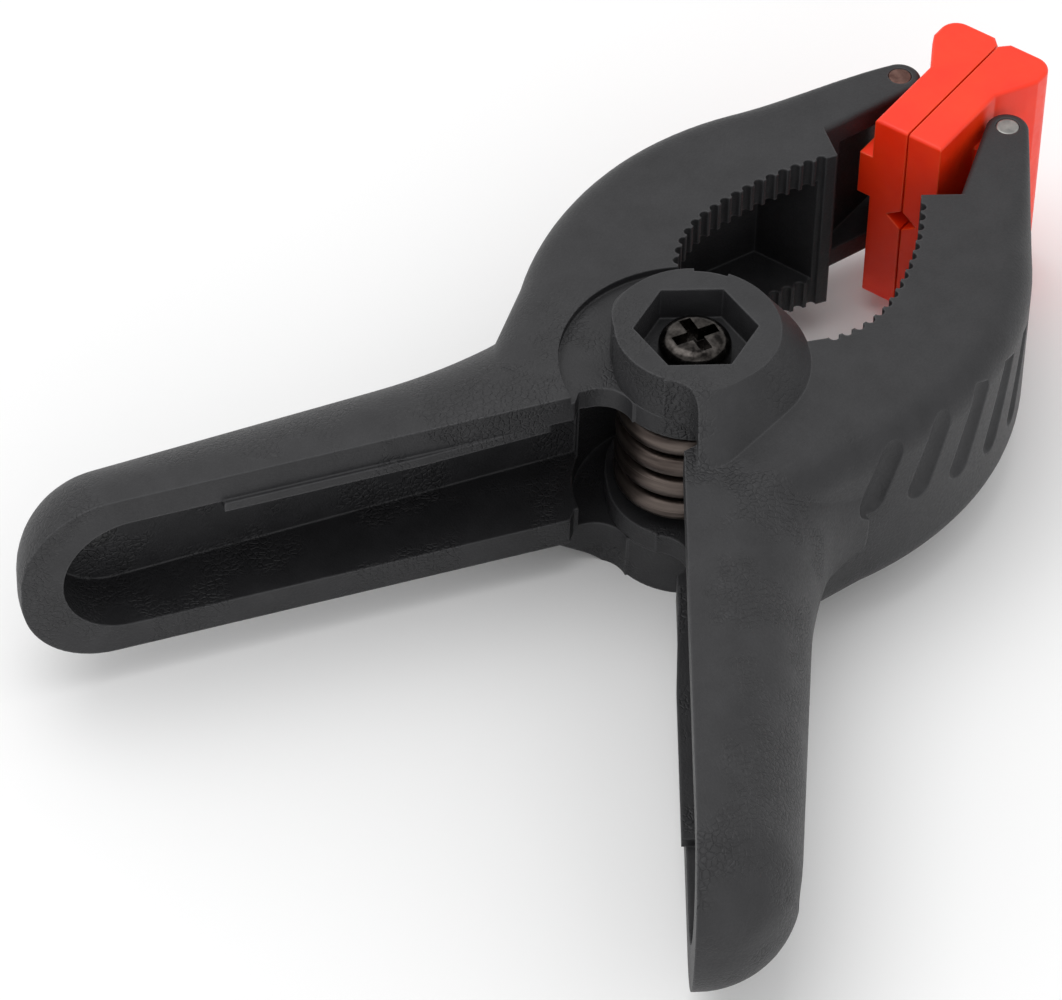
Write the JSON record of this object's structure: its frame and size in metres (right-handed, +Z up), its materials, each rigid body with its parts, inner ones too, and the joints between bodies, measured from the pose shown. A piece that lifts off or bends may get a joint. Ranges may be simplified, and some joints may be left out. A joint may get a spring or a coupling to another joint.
{
  "type": "spring clamp",
  "caption": "Hand spring clamp: crossed moulded levers on a screw pivot, torsion spring inside, toothed throat and swivelling jaw pads.",
  "frame": {"origin": "on the pivot axis, in the plane of the lower boss face that the clamp lies on", "axes": "+X along the clamp towards the jaws, +Y across it towards the rear lever, +Z up the pivot axis"},
  "size_m": [0.1496, 0.114, 0.038],
  "materials": {
    "black_nylon": "fine matt moulded grain",
    "orange_plastic": "semi-gloss moulded",
    "pin_steel": "dull plain steel",
    "spring_steel": "oil-tempered wire",
    "black_steel": "polished black zinc"
  },
  "bodies": {
    "front_half": {"front_lever": "black_nylon", "front_jaw_pin": "pin_steel", "pivot_sleeve": "pin_steel", "pivot_screw": "black_steel", "pivot_nut": "pin_steel", "nut_washer": "pin_steel", "torsion_spring": "spring_steel"},
    "rear_half": {"rear_lever": "black_nylon", "rear_jaw_pin": "pin_steel"},
    "front_pad": {"front_jaw_pad": "orange_plastic"},
    "rear_pad": {"rear_jaw_pad": "orange_plastic"}
  },
  "joints": [
    {"name": "lever_hinge", "type": "hinge", "parent": "front_half", "child": "rear_half", "pos_m": [0, 0, 0.019], "axis": [0, 0, 1], "range_deg": [0, 42], "stiffness_Nm_per_rad": 3, "springref_deg": -28.65, "deforming": ["torsion_spring"]},
    {"name": "front_pad_swivel", "type": "hinge", "parent": "front_half", "child": "front_pad", "pos_m": [0.0623, -0.00855, 0.019], "axis": [0, 0, 1], "range_deg": [0, 21]},
    {"name": "rear_pad_swivel", "type": "hinge", "parent": "rear_half", "child": "rear_pad", "pos_m": [0.0623, 0.00855, 0.019], "axis": [0, 0, 1], "range_deg": [-21, 0]}
  ],
  "couplings": [
    {"joint": "front_pad_swivel", "follows": "lever_hinge", "ratio": 0.5},
    {"joint": "rear_pad_swivel", "follows": "lever_hinge", "ratio": -0.5}
  ]
}
